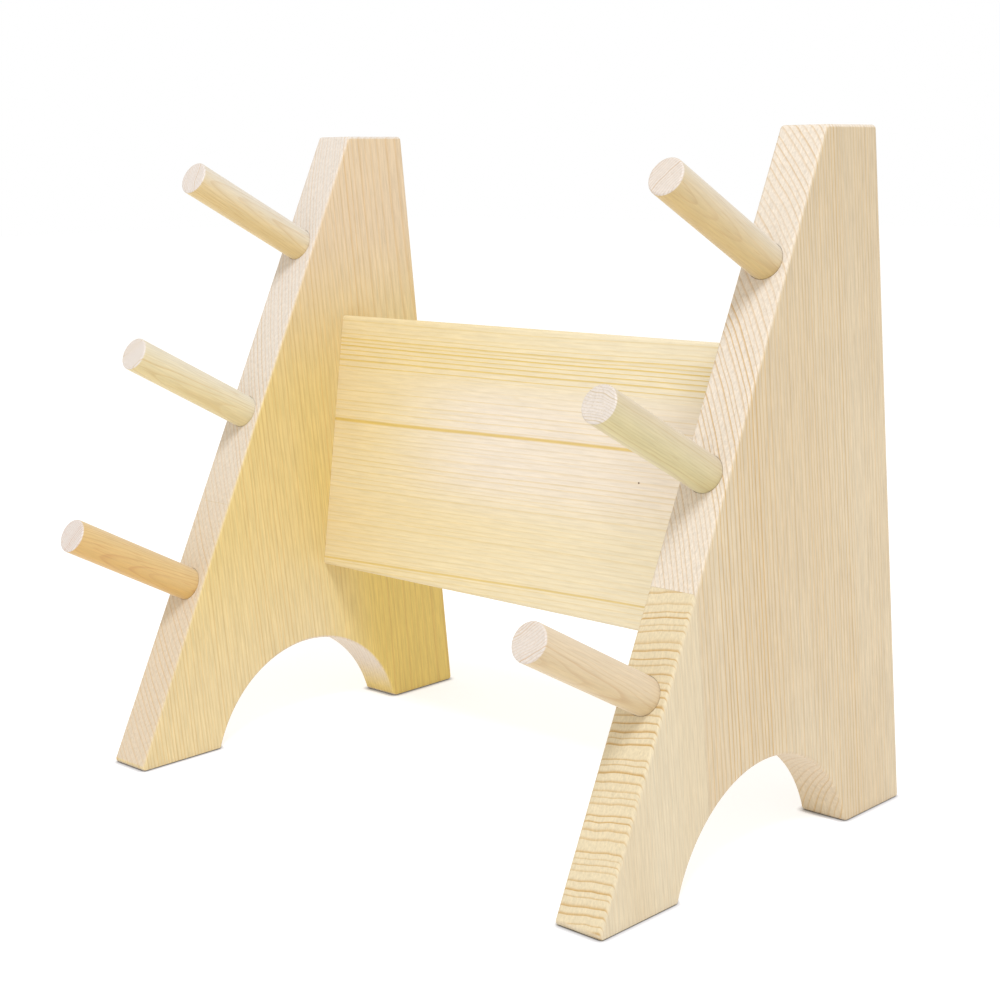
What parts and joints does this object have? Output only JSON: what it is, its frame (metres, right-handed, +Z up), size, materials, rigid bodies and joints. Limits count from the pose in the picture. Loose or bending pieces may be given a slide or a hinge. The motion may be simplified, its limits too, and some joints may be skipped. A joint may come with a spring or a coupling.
{
  "type": "yarn peg stand",
  "caption": "Tabletop wooden yarn stand: tapered side panels on arched feet, joined by a leaning cross board, with round upward-sloping pegs along their front edges to hold yarn.",
  "frame": {"origin": "centre of the whole stand's footprint box, on the surface that the feet rest on", "axes": "+Z up, +X to the right along the cross board, pegs towards -Y"},
  "size_m": [0.308, 0.24, 0.3],
  "materials": {
    "board_wood": "sanded, unfinished, matt",
    "left_panel_wood": "sanded, unfinished, matt",
    "left_stave_wood": "sanded, unfinished, matt",
    "right_panel_wood": "sanded, unfinished, matt",
    "right_stave_wood": "sanded, unfinished, matt",
    "peg_wood": "sanded, unfinished, matt",
    "dowel_wood": "sanded, unfinished, matt"
  },
  "bodies": {
    "root": {"cross_board": "board_wood", "left_panel_main_board": "left_panel_wood", "left_panel_front_stave": "left_stave_wood", "left_peg_lower": "peg_wood", "left_dowel_lower": "dowel_wood", "left_peg_middle": "peg_wood", "left_dowel_middle": "dowel_wood", "left_peg_upper": "peg_wood", "left_dowel_upper": "dowel_wood", "right_panel_main_board": "right_panel_wood", "right_panel_front_stave": "right_stave_wood", "right_peg_lower": "peg_wood", "right_dowel_lower": "dowel_wood", "right_peg_middle": "peg_wood", "right_dowel_middle": "dowel_wood", "right_peg_upper": "peg_wood", "right_dowel_upper": "dowel_wood"}
  },
  "joints": []
}
